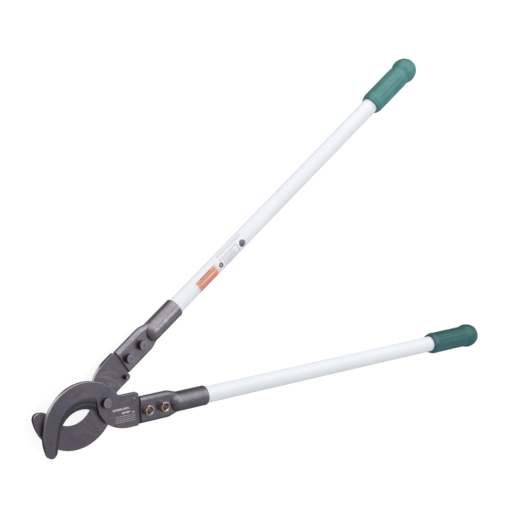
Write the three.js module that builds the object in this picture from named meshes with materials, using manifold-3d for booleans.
// Long-handled two-hand cable cutter, lying flat on its back.
// Millimetres. +Z is up, +X runs from the pivot along the bisector of the two handles.
// The origin is on the pivot axis, at the lower end face of the pivot bolt.
//
// Both halves are the same set of parts. A half is drawn once, in its own frame:
//   x  along its handle, from the pivot to the grip
//   y  towards the other handle
//   z  away from the plane on which the two blades slide
// The front half is that set turned about Z, and the rear half is the set flipped over.

import * as THREE from 'three';
import { mergeVertices } from 'three/addons/utils/BufferGeometryUtils.js';
import Module from 'manifold-3d';

const wasm = await Module();
wasm.setup();

const DEG = Math.PI / 180;

// ---- driving dimensions -------------------------------------------------

const HALF_OPENING = 17.14 * DEG; // between each handle and the bisector, as stored
const MATING_Z = 20.95; // height of the plane on which the blades slide
const BLADE_GAP = 0.04; // running clearance between the two blades
const BLADE_T = 5.8; // blade thickness
const EDGE_BREAK = 0.6; // small chamfer round the forged outline

// jaw: outer arc and cutting edge are circles in the half's frame
const JAW_ARC = { x: -30.9, y: -29, r: 61.3 };
const EDGE_ARC = { x: -33.2, y: -37, r: 33 };
const EDGE_RUNOUT = 10.9 * DEG; // slope of the straight edge towards the tip
const BEVEL_SHIFT = { x: 4.5, y: 4.1 }; // the bevel is wider on the pivot side
const BEVEL_WIDTH = 11.5; // mean width of the ground bevel
const BEVEL_CREASE_Z = 2.9; // height at which the two ground facets meet
const BEVEL_CREASE_WIDTH = 4.4; // width of the facet next to the cutting edge
const BOSS_WALL = { x: -12.3, y: 0, tilt: 10.7 * DEG }; // where the bevel stops at the boss
const JAW_ARC_END_Y = 12.3; // where the outer arc runs into the tang
const TIP_OUTER_Y = -50; // where the outer arc runs into the rounded tip
const TIP_INNER_Y = -47.5; // where the straight edge runs into the rounded tip
const TIP_CURVE = [-73, -56.3, -84, -62.3]; // control points of the rounded tip

// tang, between the pivot and the handle socket
const TANG_INNER_Y = 5;
const TANG_OUTER_Y = -39.6;
const TANG_END_X = 51;
const TANG_CORNER = 5; // radius of its shoulders
const TANG_FILLET_X = 25; // end of the fillet from the outer arc
const TANG_OUTER_X = 36; // start of the sweep round the boss
const TANG_SWEEP = [14, TANG_OUTER_Y, -2.2, -28.5]; // control points of that sweep
const TONGUE_HALF_W = 15; // part of the tang inside the socket
const TONGUE_END_X = 95;

// pivot
const PIVOT_BOLT_R = 5;
const PIVOT_HEAD_R = 6.75;
const PIVOT_HEAD_H = 6;
const PIVOT_WASHER_R = 10.5;
const PIVOT_WASHER_T = 2;
const PIVOT_NUT_AF = 17;
const PIVOT_NUT_H = 9.5;
const RUNNING_GAP = 0.05; // radial, pivot bolt in its blades and pins in their holes

// stop pins
const STOP_PIN = { x: 43.5, y: -2.5, r: 3 };
const STOP_PIN_REACH = 7.5; // past the mating plane
const STOP_PIN_PROUD = 0.4; // past the outer face

// handle socket, a tube swaged flat over the tongue
const HANDLE_Y = -20; // handle axis beside the pivot
const SOCKET_START_X = 52;
const SOCKET_FLAT_END_X = 95; // its sides draw in from here
const SOCKET_ROUND_X = 115; // and are as narrow as the round part from here
const SOCKET_DOME_X = 111; // centre of the domed end of the round part
const SOCKET_END_X = 158.3;
const SOCKET_FLAT_HALF_W = 18.1;
const SOCKET_FLAT_HALF_T = 5.7;
const SOCKET_ROUND_R = 13.4;
const SLOT_HALF_T = BLADE_T / 2 + 0.1;
const SLOT_END_X = 97; // the slot for the tongue ends here
const SLOT_NECK_HALF_W = 9; // and a narrower one goes on to the bore
const SLIP_GAP = 0.3; // round the tongue and the handle tube

// socket bolts
const SOCKET_BOLT_X = [61, 86];
const SOCKET_BOLT_NAMES = ['inner', 'outer'];
const BOLT_R = 4;
const BOLT_HOLE_R = 4.15;
const BOLT_HEAD_R = 6.4;
const BOLT_HEAD_H = 7;
const LOCK_WASHER_R = 6.7;
const LOCK_WASHER_T = 1.6;
const LOCK_WASHER_SPLIT = 1;
const NUT_AF = 13;
const NUT_H = 6.5;
const NUT_TURN = [12 * DEG, 29 * DEG]; // where the hexagons came to rest
const BOLT_END_DEPTH = 0.4; // below the top of the nut

// handle tube and grip
const TUBE_R = 11.5;
const TUBE_WALL = 2;
const TUBE_START_X = 120;
const GRIP_START_X = 596.5;
const GRIP_END_X = 699;
const GRIP_R = 16;
const GRIP_BULB_R = 18;
const GRIP_END_WALL = 5;
const GRIP_FLUTES = 12;
const GRIP_FLUTE_DEPTH = 0.7;

// labels, wrapped round the rear handle tube; angles are described at label()
const LABEL_T = 0.2;
const LABEL_GAP = 0.06;
const ORANGE_LABEL = { x0: 197.5, x1: 237.5, from: -46 * DEG, to: 43 * DEG };
const WHITE_LABEL = { x0: 240.5, x1: 302.5, from: -50 * DEG, to: 77 * DEG };

// facets round a full turn
const SEG_LARGE = 48;
const SEG_SMALL = 24;

// ---- materials ----------------------------------------------------------

const FINISH = {
  blade: { color: 0x59565c, roughness: 0.5, metalness: 0.8 },
  socket: { color: 0x5b5763, roughness: 0.42, metalness: 0.85 },
  tube: { color: 0xebeef5, roughness: 0.35, metalness: 0 },
  grip: { color: 0x1f6a62, roughness: 0.6, metalness: 0 },
  dark: { color: 0x47434b, roughness: 0.45, metalness: 0.8 },
  zinc: { color: 0xb08a5c, roughness: 0.4, metalness: 0.9 },
  orange: { color: 0xd98058, roughness: 0.5, metalness: 0 },
  white: { color: 0xf0f0f4, roughness: 0.5, metalness: 0 },
};

// ---- helpers ------------------------------------------------------------

function solid(geometry) {
  const plain = geometry.clone();
  plain.deleteAttribute('normal');
  plain.deleteAttribute('uv');
  const merged = mergeVertices(plain, 1e-4);
  const mesh = new wasm.Mesh({
    numProp: 3,
    vertProperties: new Float32Array(merged.attributes.position.array),
    triVerts: new Uint32Array(merged.index.array),
  });
  return new wasm.Manifold(mesh);
}

function geometryOf(body) {
  const mesh = body.getMesh();
  const geometry = new THREE.BufferGeometry();
  const positions = new THREE.BufferAttribute(new Float32Array(mesh.vertProperties), 3);
  geometry.setAttribute('position', positions);
  geometry.setIndex(new THREE.BufferAttribute(new Uint32Array(mesh.triVerts), 1));
  geometry.computeVertexNormals();
  return geometry;
}

function node(name, body, finish) {
  const mesh = new THREE.Mesh(geometryOf(body), new THREE.MeshStandardMaterial(FINISH[finish]));
  mesh.name = name;
  return mesh;
}

// A round bar standing on z, between two heights.
function rod(x, y, r, z0, z1, segments = SEG_SMALL) {
  const geometry = new THREE.CylinderGeometry(r, r, z1 - z0, segments);
  geometry.rotateX(Math.PI / 2);
  geometry.translate(x, y, (z0 + z1) / 2);
  return solid(geometry);
}

function block(x0, x1, y0, y1, z0, z1) {
  const geometry = new THREE.BoxGeometry(x1 - x0, y1 - y0, z1 - z0);
  geometry.translate((x0 + x1) / 2, (y0 + y1) / 2, (z0 + z1) / 2);
  return solid(geometry);
}

// A profile of [radius, height] pairs turned about the z axis through (x, y).
function turned(profile, x, y, segments = SEG_SMALL) {
  const points = profile.map(([r, z]) => new THREE.Vector2(r, z));
  const geometry = new THREE.LatheGeometry(points, segments);
  geometry.rotateX(Math.PI / 2);
  geometry.translate(x, y, 0);
  return solid(geometry);
}

// The same, turned about the handle axis, with [radius, x] pairs.
function turnedAlongHandle(profile, segments = SEG_LARGE) {
  const points = profile.map(([r, x]) => new THREE.Vector2(r, x));
  const geometry = new THREE.LatheGeometry(points, segments);
  geometry.rotateZ(-Math.PI / 2);
  geometry.translate(0, HANDLE_Y, BLADE_T / 2);
  return geometry;
}

// ---- blade --------------------------------------------------------------

const EDGE_SPLIT_X = -8.3; // where the boss curve runs into the cutting edge
const RAW_ALLOWANCE = 1.5; // material left inside the cutting edge before grinding

function onArc(arc, r, angle) {
  return { x: arc.x + r * Math.cos(angle), y: arc.y + r * Math.sin(angle) };
}

function bossWallX(y) {
  return BOSS_WALL.x - (y - BOSS_WALL.y) * Math.tan(BOSS_WALL.tilt);
}

// The angle on the cutting-edge circle at which it meets the boss wall.
function wallAngle(r) {
  let angle = 40 * DEG;
  for (let i = 0; i < 40; i += 1) {
    const y = EDGE_ARC.y + r * Math.sin(angle);
    angle = Math.acos((bossWallX(y) - EDGE_ARC.x) / r);
  }
  return angle;
}

function bladeOutline() {
  const shape = new THREE.Shape();
  const corner = TANG_CORNER;
  const filletStart = Math.asin((JAW_ARC_END_Y - JAW_ARC.y) / JAW_ARC.r);
  const tipOuter = Math.PI - Math.asin((TIP_OUTER_Y - JAW_ARC.y) / JAW_ARC.r);
  const straightTop = Math.PI - EDGE_RUNOUT;
  const rawR = EDGE_ARC.r - RAW_ALLOWANCE;
  const straightStart = onArc(EDGE_ARC, rawR, straightTop);
  const straightDrop = TIP_INNER_Y - straightStart.y;
  const straightEndX = straightStart.x + straightDrop * Math.tan(EDGE_RUNOUT);
  const splitAngle = Math.acos((EDGE_SPLIT_X - EDGE_ARC.x) / EDGE_ARC.r);

  // inner side of the tang, the shoulder and the tongue
  shape.moveTo(TANG_FILLET_X, TANG_INNER_Y);
  shape.lineTo(TANG_END_X - corner, TANG_INNER_Y);
  shape.quadraticCurveTo(TANG_END_X, TANG_INNER_Y, TANG_END_X, TANG_INNER_Y - corner);
  shape.lineTo(TANG_END_X, HANDLE_Y + TONGUE_HALF_W);
  shape.lineTo(TONGUE_END_X, HANDLE_Y + TONGUE_HALF_W);
  shape.lineTo(TONGUE_END_X, HANDLE_Y - TONGUE_HALF_W);
  shape.lineTo(TANG_END_X, HANDLE_Y - TONGUE_HALF_W);
  shape.quadraticCurveTo(TANG_END_X, TANG_OUTER_Y, TANG_END_X - corner, TANG_OUTER_Y);
  shape.lineTo(TANG_OUTER_X, TANG_OUTER_Y);
  // outer side of the tang sweeping round the boss to the root of the cutting edge
  const root = onArc(EDGE_ARC, EDGE_ARC.r, splitAngle);
  shape.bezierCurveTo(...TANG_SWEEP, root.x, root.y);
  const rootEnd = wallAngle(EDGE_ARC.r);
  shape.absarc(EDGE_ARC.x, EDGE_ARC.y, EDGE_ARC.r, splitAngle, rootEnd, false);
  // inside of the jaw, with the grinding allowance
  const rawStart = rootEnd + 8 * DEG;
  const rawPoint = onArc(EDGE_ARC, rawR, rawStart);
  shape.lineTo(rawPoint.x, rawPoint.y);
  shape.absarc(EDGE_ARC.x, EDGE_ARC.y, rawR, rawStart, straightTop, false);
  shape.lineTo(straightEndX, TIP_INNER_Y);
  // rounded tip, then the outer arc back to the tang
  const tip = onArc(JAW_ARC, JAW_ARC.r, tipOuter);
  shape.bezierCurveTo(...TIP_CURVE, tip.x, tip.y);
  shape.absarc(JAW_ARC.x, JAW_ARC.y, JAW_ARC.r, tipOuter, filletStart, true);
  shape.quadraticCurveTo(TANG_FILLET_X - corner, TANG_INNER_Y, TANG_FILLET_X, TANG_INNER_Y);
  return shape;
}

// Outline of the opening between the jaws, grown by an offset.
function openingOutline(offset) {
  const r = EDGE_ARC.r + offset;
  const straightTop = Math.PI - EDGE_RUNOUT;
  const reach = 40;
  const start = onArc(EDGE_ARC, r, straightTop);
  const endX = start.x - reach * Math.sin(EDGE_RUNOUT);
  const endY = start.y - reach * Math.cos(EDGE_RUNOUT);
  const shape = new THREE.Shape();
  shape.moveTo(endX, endY);
  shape.lineTo(start.x, start.y);
  shape.absarc(EDGE_ARC.x, EDGE_ARC.y, r, straightTop, -20 * DEG, true);
  shape.lineTo(EDGE_ARC.x + r * 0.5, endY);
  return shape;
}

// One ground facet: the opening widened from one offset to another over a height.
function facetCutter(offset0, z0, offset1, z1, over) {
  const geometry = new THREE.ExtrudeGeometry(openingOutline(offset0), {
    depth: over,
    curveSegments: 48,
    bevelEnabled: true,
    bevelThickness: z1 - z0,
    bevelSize: offset1 - offset0,
    bevelSegments: 1,
  });
  geometry.translate(0, 0, z1);
  const shear = new THREE.Matrix4().makeTranslation(0, 0, 0);
  shear.elements[8] = BEVEL_SHIFT.x / BLADE_T;
  shear.elements[9] = BEVEL_SHIFT.y / BLADE_T;
  geometry.applyMatrix4(shear);
  return solid(geometry);
}

function bevelCutter() {
  const below = 0.5;
  const above = 1;
  const slope0 = BEVEL_CREASE_WIDTH / BEVEL_CREASE_Z;
  const slope1 = (BEVEL_WIDTH - BEVEL_CREASE_WIDTH) / (BLADE_T - BEVEL_CREASE_Z);
  const lap = 0.2;
  const edgeFacet = facetCutter(-below * slope0, -below, BEVEL_CREASE_WIDTH, BEVEL_CREASE_Z, lap);
  const faceFacet = facetCutter(
    BEVEL_CREASE_WIDTH - lap * slope1,
    BEVEL_CREASE_Z - lap,
    BEVEL_WIDTH + above * slope1,
    BLADE_T + above,
    lap,
  );
  const jawSide = new THREE.BoxGeometry(160, 240, 40);
  jawSide.translate(-80, 0, 0);
  jawSide.rotateZ(BOSS_WALL.tilt);
  jawSide.translate(BOSS_WALL.x, BOSS_WALL.y, 0);
  return edgeFacet.add(faceFacet).intersect(solid(jawSide));
}

function blade() {
  const faceZ = BLADE_GAP / 2;
  const geometry = new THREE.ExtrudeGeometry(bladeOutline(), {
    depth: BLADE_T - faceZ - 2 * EDGE_BREAK,
    curveSegments: 18,
    bevelEnabled: true,
    bevelThickness: EDGE_BREAK,
    bevelSize: EDGE_BREAK,
    bevelOffset: -EDGE_BREAK,
    bevelSegments: 1,
  });
  geometry.translate(0, 0, faceZ + EDGE_BREAK);
  let body = solid(geometry).subtract(bevelCutter());
  body = body.subtract(rod(0, 0, PIVOT_BOLT_R + RUNNING_GAP, -1, BLADE_T + 1, SEG_LARGE));
  body = body.subtract(rod(STOP_PIN.x, STOP_PIN.y, STOP_PIN.r + RUNNING_GAP, -1, BLADE_T + 1));
  for (const x of SOCKET_BOLT_X) {
    body = body.subtract(rod(x, HANDLE_Y, BOLT_HOLE_R, -1, BLADE_T + 1));
  }
  return body;
}

function stopPin() {
  const top = BLADE_T + STOP_PIN_PROUD;
  const chamfer = 0.5;
  const profile = [
    [0, -STOP_PIN_REACH],
    [STOP_PIN.r - chamfer, -STOP_PIN_REACH],
    [STOP_PIN.r, -STOP_PIN_REACH + chamfer],
    [STOP_PIN.r, top - chamfer],
    [STOP_PIN.r - chamfer, top],
    [0, top],
  ];
  return turned(profile, STOP_PIN.x, STOP_PIN.y);
}

// ---- socket -------------------------------------------------------------

// A point of the flattened section: straight flats joined by half-round ends.
function flatSection(angle, halfW, halfT) {
  const turn = Math.PI;
  const a = Math.atan2(Math.sin(angle), Math.cos(angle));
  const side = Math.abs(a) < turn / 2 ? 1 : -1;
  const fromSide = side > 0 ? a : Math.sign(a) * (turn - Math.abs(a));
  const endSpan = turn / 3;
  if (Math.abs(fromSide) <= endSpan) {
    const phi = fromSide * 1.5;
    return [side * (halfW - halfT + halfT * Math.cos(phi)), halfT * Math.sin(phi)];
  }
  const along = (turn / 2 - Math.abs(fromSide)) / (turn / 2 - endSpan);
  return [side * (halfW - halfT) * along, Math.sign(a) * halfT];
}

// A flattened bar whose section changes along x. Each station gives x and the half sizes.
function flattenedBar(stations) {
  const rows = stations.length - 1;
  const geometry = new THREE.CylinderGeometry(1, 1, 1, SEG_LARGE, rows);
  const position = geometry.attributes.position;
  for (let i = 0; i < position.count; i += 1) {
    const across = position.getX(i);
    const up = position.getZ(i);
    const rho = Math.min(1, Math.round(Math.hypot(across, up) * 1000) / 1000);
    const { x, halfW, halfT } = stations[Math.round((position.getY(i) + 0.5) * rows)];
    const [y, z] = flatSection(Math.atan2(up, across), halfW, halfT);
    position.setXYZ(i, x, HANDLE_Y - rho * y, BLADE_T / 2 + rho * z);
  }
  return solid(geometry);
}

// The pressed end of the tube, drawn in to the width of the round part.
function pressedEnd(rim) {
  const halfW = SOCKET_FLAT_HALF_W;
  const halfT = SOCKET_FLAT_HALF_T;
  const stations = [
    { x: SOCKET_START_X, halfW: halfW - rim, halfT: halfT - rim },
    { x: SOCKET_START_X + rim, halfW, halfT },
  ];
  const steps = 8;
  for (let i = 0; i <= steps; i += 1) {
    const x = THREE.MathUtils.lerp(SOCKET_FLAT_END_X, SOCKET_ROUND_X, i / steps);
    const narrowed = THREE.MathUtils.smoothstep(i / steps, 0, 1);
    stations.push({ x, halfW: THREE.MathUtils.lerp(halfW, SOCKET_ROUND_R, narrowed), halfT });
  }
  return flattenedBar(stations);
}

// A round bar along the handle that starts in a dome about SOCKET_DOME_X.
function domedBar(r, endR, endX, rim) {
  const profile = [];
  const steps = 12;
  for (let i = 0; i <= steps; i += 1) {
    const angle = (i / steps) * 90 * DEG;
    profile.push([r * Math.sin(angle), SOCKET_DOME_X - r * Math.cos(angle)]);
  }
  profile.push([r, endX - rim], [endR, endX], [0, endX]);
  return solid(turnedAlongHandle(profile));
}

// A flat opening along the handle axis, as thick as the blade.
function flatSlot(x0, x1, halfW) {
  const z0 = BLADE_T / 2 - SLOT_HALF_T;
  const z1 = BLADE_T / 2 + SLOT_HALF_T;
  return block(x0, x1, HANDLE_Y - halfW, HANDLE_Y + halfW, z0, z1);
}

function socket() {
  const rim = 0.6;
  const boreR = TUBE_R + SLIP_GAP;
  const round = domedBar(SOCKET_ROUND_R, SOCKET_ROUND_R - rim, SOCKET_END_X, rim);
  const bore = domedBar(boreR, boreR, SOCKET_END_X + 1, 0);
  const slot = flatSlot(SOCKET_START_X - 1, SLOT_END_X, TONGUE_HALF_W + SLIP_GAP);
  const neck = flatSlot(SLOT_END_X - 1, SOCKET_DOME_X, SLOT_NECK_HALF_W);
  let body = pressedEnd(rim).add(round).subtract(bore).subtract(slot).subtract(neck);
  for (const x of SOCKET_BOLT_X) {
    body = body.subtract(rod(x, HANDLE_Y, BOLT_HOLE_R, -20, 20));
  }
  return body;
}

// ---- fasteners ----------------------------------------------------------

const SOCKET_TOP_Z = BLADE_T / 2 + SOCKET_FLAT_HALF_T;
const SOCKET_BOTTOM_Z = BLADE_T / 2 - SOCKET_FLAT_HALF_T;

// A hexagon nut between two heights, chamfered outside and flared in its bore at both ends.
function hexNut(x, y, acrossFlats, boreR, z0, z1, turnedBy) {
  const cornerR = acrossFlats / 2 / Math.cos(30 * DEG);
  const height = z1 - z0;
  const prism = new THREE.CylinderGeometry(cornerR, cornerR, height, 6);
  prism.rotateX(Math.PI / 2);
  prism.rotateZ(turnedBy);
  prism.translate(x, y, (z0 + z1) / 2);
  const faceR = acrossFlats / 2 - 0.2;
  const drop = (cornerR + 0.5 - faceR) * Math.tan(30 * DEG);
  const profile = [
    [0, z0],
    [faceR, z0],
    [cornerR + 0.5, z0 + drop],
    [cornerR + 0.5, z1 - drop],
    [faceR, z1],
    [0, z1],
  ];
  const flare = 0.9;
  const bore = [
    [0, z0 - 1],
    [boreR + flare + 1, z0 - 1],
    [boreR, z0 + flare],
    [boreR, z1 - flare],
    [boreR + flare + 1, z1 + 1],
    [0, z1 + 1],
  ];
  return solid(prism).intersect(turned(profile, x, y)).subtract(turned(bore, x, y));
}

// A washer between two heights.
function washer(x, y, outerR, innerR, z0, z1) {
  return rod(x, y, outerR, z0, z1).subtract(rod(x, y, innerR, z0 - 1, z1 + 1));
}

// Round-headed bolt: head under the socket, chamfered end just inside the nut.
function socketBolt(x) {
  const headBottom = SOCKET_BOTTOM_Z - BOLT_HEAD_H;
  const end = SOCKET_TOP_Z + LOCK_WASHER_T + NUT_H - BOLT_END_DEPTH;
  const endChamfer = 1.2;
  const round = 0.9;
  const dimpleR = 1.5;
  const dimpleDepth = 0.7;
  const profile = [
    [0, headBottom + dimpleDepth],
    [dimpleR - 0.6, headBottom + dimpleDepth],
    [dimpleR, headBottom],
    [BOLT_HEAD_R - round, headBottom],
    [BOLT_HEAD_R - 0.25, headBottom + 0.35],
    [BOLT_HEAD_R, headBottom + round],
    [BOLT_HEAD_R, SOCKET_BOTTOM_Z],
    [BOLT_R, SOCKET_BOTTOM_Z],
    [BOLT_R, end - endChamfer],
    [BOLT_R - endChamfer, end],
    [0, end],
  ];
  return turned(profile, x, HANDLE_Y);
}

function socketLockWasher(x) {
  const top = SOCKET_TOP_Z + LOCK_WASHER_T;
  const ring = washer(x, HANDLE_Y, LOCK_WASHER_R, BOLT_HOLE_R, SOCKET_TOP_Z, top);
  const splitEnd = HANDLE_Y + LOCK_WASHER_R + 1;
  const half = LOCK_WASHER_SPLIT / 2;
  const split = block(x - half, x + half, HANDLE_Y, splitEnd, SOCKET_TOP_Z - 1, top + 1);
  return ring.subtract(split);
}

function socketNut(x, turnedBy) {
  const z0 = SOCKET_TOP_Z + LOCK_WASHER_T;
  return hexNut(x, HANDLE_Y, NUT_AF, BOLT_R + RUNNING_GAP, z0, z0 + NUT_H, turnedBy);
}

const REAR_FACE_Z = MATING_Z - BLADE_T;
const PIVOT_NUT_TOP_Z = REAR_FACE_Z - PIVOT_WASHER_T;

// The pivot parts are drawn in the object's own frame: the head is on the front blade.
function pivotBolt() {
  const headBottom = MATING_Z + BLADE_T + BLADE_GAP / 2;
  const headTop = headBottom + PIVOT_HEAD_H;
  const round = 0.8;
  const profile = [
    [0, 0],
    [PIVOT_BOLT_R - 0.6, 0],
    [PIVOT_BOLT_R, 0.6],
    [PIVOT_BOLT_R, headBottom],
    [PIVOT_HEAD_R, headBottom],
    [PIVOT_HEAD_R, headTop - round],
    [PIVOT_HEAD_R - 0.25, headTop - 0.3],
    [PIVOT_HEAD_R - round, headTop],
    [0, headTop],
  ];
  return turned(profile, 0, 0, SEG_LARGE);
}

function pivotWasher() {
  const innerR = PIVOT_BOLT_R + RUNNING_GAP;
  const ring = rod(0, 0, PIVOT_WASHER_R, PIVOT_NUT_TOP_Z, REAR_FACE_Z, SEG_LARGE);
  return ring.subtract(rod(0, 0, innerR, PIVOT_NUT_TOP_Z - 1, REAR_FACE_Z + 1, SEG_LARGE));
}

function pivotNut() {
  const bottom = PIVOT_NUT_TOP_Z - PIVOT_NUT_H;
  const boreR = PIVOT_BOLT_R + 2 * RUNNING_GAP;
  return hexNut(0, 0, PIVOT_NUT_AF, boreR, bottom, PIVOT_NUT_TOP_Z, 0);
}

// ---- handle -------------------------------------------------------------

function handleTube() {
  const innerR = TUBE_R - TUBE_WALL;
  const endX = GRIP_END_X - GRIP_END_WALL - 1;
  const profile = [
    [innerR, TUBE_START_X],
    [TUBE_R, TUBE_START_X],
    [TUBE_R, endX],
    [innerR, endX],
    [innerR, TUBE_START_X],
  ];
  return solid(turnedAlongHandle(profile));
}

// Depth of the shallow flutes at a place along the grip, fading at both ends.
function fluteDepth(x) {
  const fade = 7;
  const start = GRIP_START_X + 9;
  const end = GRIP_END_X - 35;
  const rise = THREE.MathUtils.smoothstep(x, start, start + fade);
  const fall = 1 - THREE.MathUtils.smoothstep(x, end - fade, end);
  return GRIP_FLUTE_DEPTH * rise * fall;
}

function grip() {
  const boreR = TUBE_R + SLIP_GAP;
  const x0 = GRIP_START_X;
  const x1 = GRIP_END_X;
  const profile = [
    // bore and mouth
    [0, x1 - GRIP_END_WALL],
    [boreR, x1 - GRIP_END_WALL],
    [boreR, x0 + 0.6],
    [boreR + 0.5, x0],
    [boreR + 1.3, x0],
    // conical collar
    [GRIP_R - 1.7, x0 + 0.9],
    [GRIP_R - 0.25, x0 + 6],
    [GRIP_R, x0 + 7.2],
    // fluted body
    [GRIP_R, x0 + 9],
    [GRIP_R, x0 + 12.5],
    [GRIP_R, x0 + 16],
    [GRIP_R, x1 - 42],
    [GRIP_R, x1 - 38.5],
    [GRIP_R, x1 - 35],
    // neck and bulb
    [GRIP_R - 0.5, x1 - 31],
    [GRIP_R - 0.35, x1 - 28.5],
    [GRIP_BULB_R - 1.1, x1 - 25],
    [GRIP_BULB_R - 0.2, x1 - 21.5],
    [GRIP_BULB_R, x1 - 18.5],
    [GRIP_BULB_R - 0.3, x1 - 15],
    [GRIP_BULB_R - 1.2, x1 - 11],
    [GRIP_BULB_R - 3.2, x1 - 6.6],
    [GRIP_BULB_R - 6.6, x1 - 2.8],
    [GRIP_BULB_R - 11.2, x1 - 0.7],
    [0, x1],
  ];
  const segments = GRIP_FLUTES * 4;
  const geometry = turnedAlongHandle(profile, segments);
  const position = geometry.attributes.position;
  for (let i = 0; i < position.count; i += 1) {
    const x = position.getX(i);
    const y = position.getY(i) - HANDLE_Y;
    const z = position.getZ(i) - BLADE_T / 2;
    const r = Math.hypot(y, z);
    if (r > boreR + 2) {
      const groove = Math.sin((GRIP_FLUTES / 2) * Math.atan2(z, y)) ** 4;
      const scale = 1 - (fluteDepth(x) * groove) / r;
      position.setXYZ(i, x, HANDLE_Y + y * scale, BLADE_T / 2 + z * scale);
    }
  }
  return solid(geometry);
}

// A thin sheet wrapped on the tube. Angles are measured from straight down in the half's
// frame, towards the outside; the rear half is flipped, so the sheet faces up.
function label({ x0, x1, from, to }) {
  const innerR = TUBE_R + LABEL_GAP;
  const outerR = innerR + LABEL_T;
  const shape = new THREE.Shape();
  shape.absarc(0, 0, outerR, from, to, false);
  shape.absarc(0, 0, innerR, to, from, true);
  shape.closePath();
  const geometry = new THREE.ExtrudeGeometry(shape, {
    depth: x1 - x0,
    curveSegments: 16,
    bevelEnabled: false,
  });
  // the sheet is drawn in a plane whose first axis points down and second outwards
  const toHandle = new THREE.Matrix4().set(
    0, 0, 1, x0,
    0, -1, 0, HANDLE_Y,
    -1, 0, 0, BLADE_T / 2,
    0, 0, 0, 1,
  );
  geometry.applyMatrix4(toHandle);
  return solid(flipped(geometry, toHandle));
}

// Turns the faces round when a placement mirrors them.
function flipped(geometry, placement) {
  if (placement.determinant() > 0) {
    return geometry;
  }
  const merged = mergeVertices(geometry);
  const index = merged.index;
  for (let i = 0; i < index.count; i += 3) {
    const first = index.getX(i);
    index.setX(i, index.getX(i + 1));
    index.setX(i + 1, first);
  }
  return merged;
}

// ---- assembly -----------------------------------------------------------

const frontPlacement = new THREE.Matrix4()
  .makeTranslation(0, 0, MATING_Z)
  .multiply(new THREE.Matrix4().makeRotationZ(-HALF_OPENING));

const rearPlacement = new THREE.Matrix4()
  .makeTranslation(0, 0, MATING_Z)
  .multiply(new THREE.Matrix4().makeRotationZ(HALF_OPENING))
  .multiply(new THREE.Matrix4().makeRotationX(Math.PI));

const cutter = new THREE.Group();
cutter.name = 'cable_cutter';

function place(mesh, placement) {
  mesh.applyMatrix4(placement);
  cutter.add(mesh);
}

function addHalf(side, placement) {
  place(node(`${side}_blade`, blade(), 'blade'), placement);
  place(node(`${side}_stop_pin`, stopPin(), 'dark'), placement);
  place(node(`${side}_socket`, socket(), 'socket'), placement);
  place(node(`${side}_handle_tube`, handleTube(), 'tube'), placement);
  place(node(`${side}_grip`, grip(), 'grip'), placement);
  SOCKET_BOLT_X.forEach((x, i) => {
    const which = SOCKET_BOLT_NAMES[i];
    const nutTurn = NUT_TURN[i];
    place(node(`${side}_socket_bolt_${which}`, socketBolt(x), 'dark'), placement);
    place(node(`${side}_lock_washer_${which}`, socketLockWasher(x), 'zinc'), placement);
    place(node(`${side}_socket_nut_${which}`, socketNut(x, nutTurn), 'zinc'), placement);
  });
}

addHalf('rear', rearPlacement);
addHalf('front', frontPlacement);

place(node('orange_label', label(ORANGE_LABEL), 'orange'), rearPlacement);
place(node('white_label', label(WHITE_LABEL), 'white'), rearPlacement);

cutter.add(node('pivot_bolt', pivotBolt(), 'dark'));
cutter.add(node('pivot_washer', pivotWasher(), 'dark'));
cutter.add(node('pivot_nut', pivotNut(), 'dark'));

export default cutter;
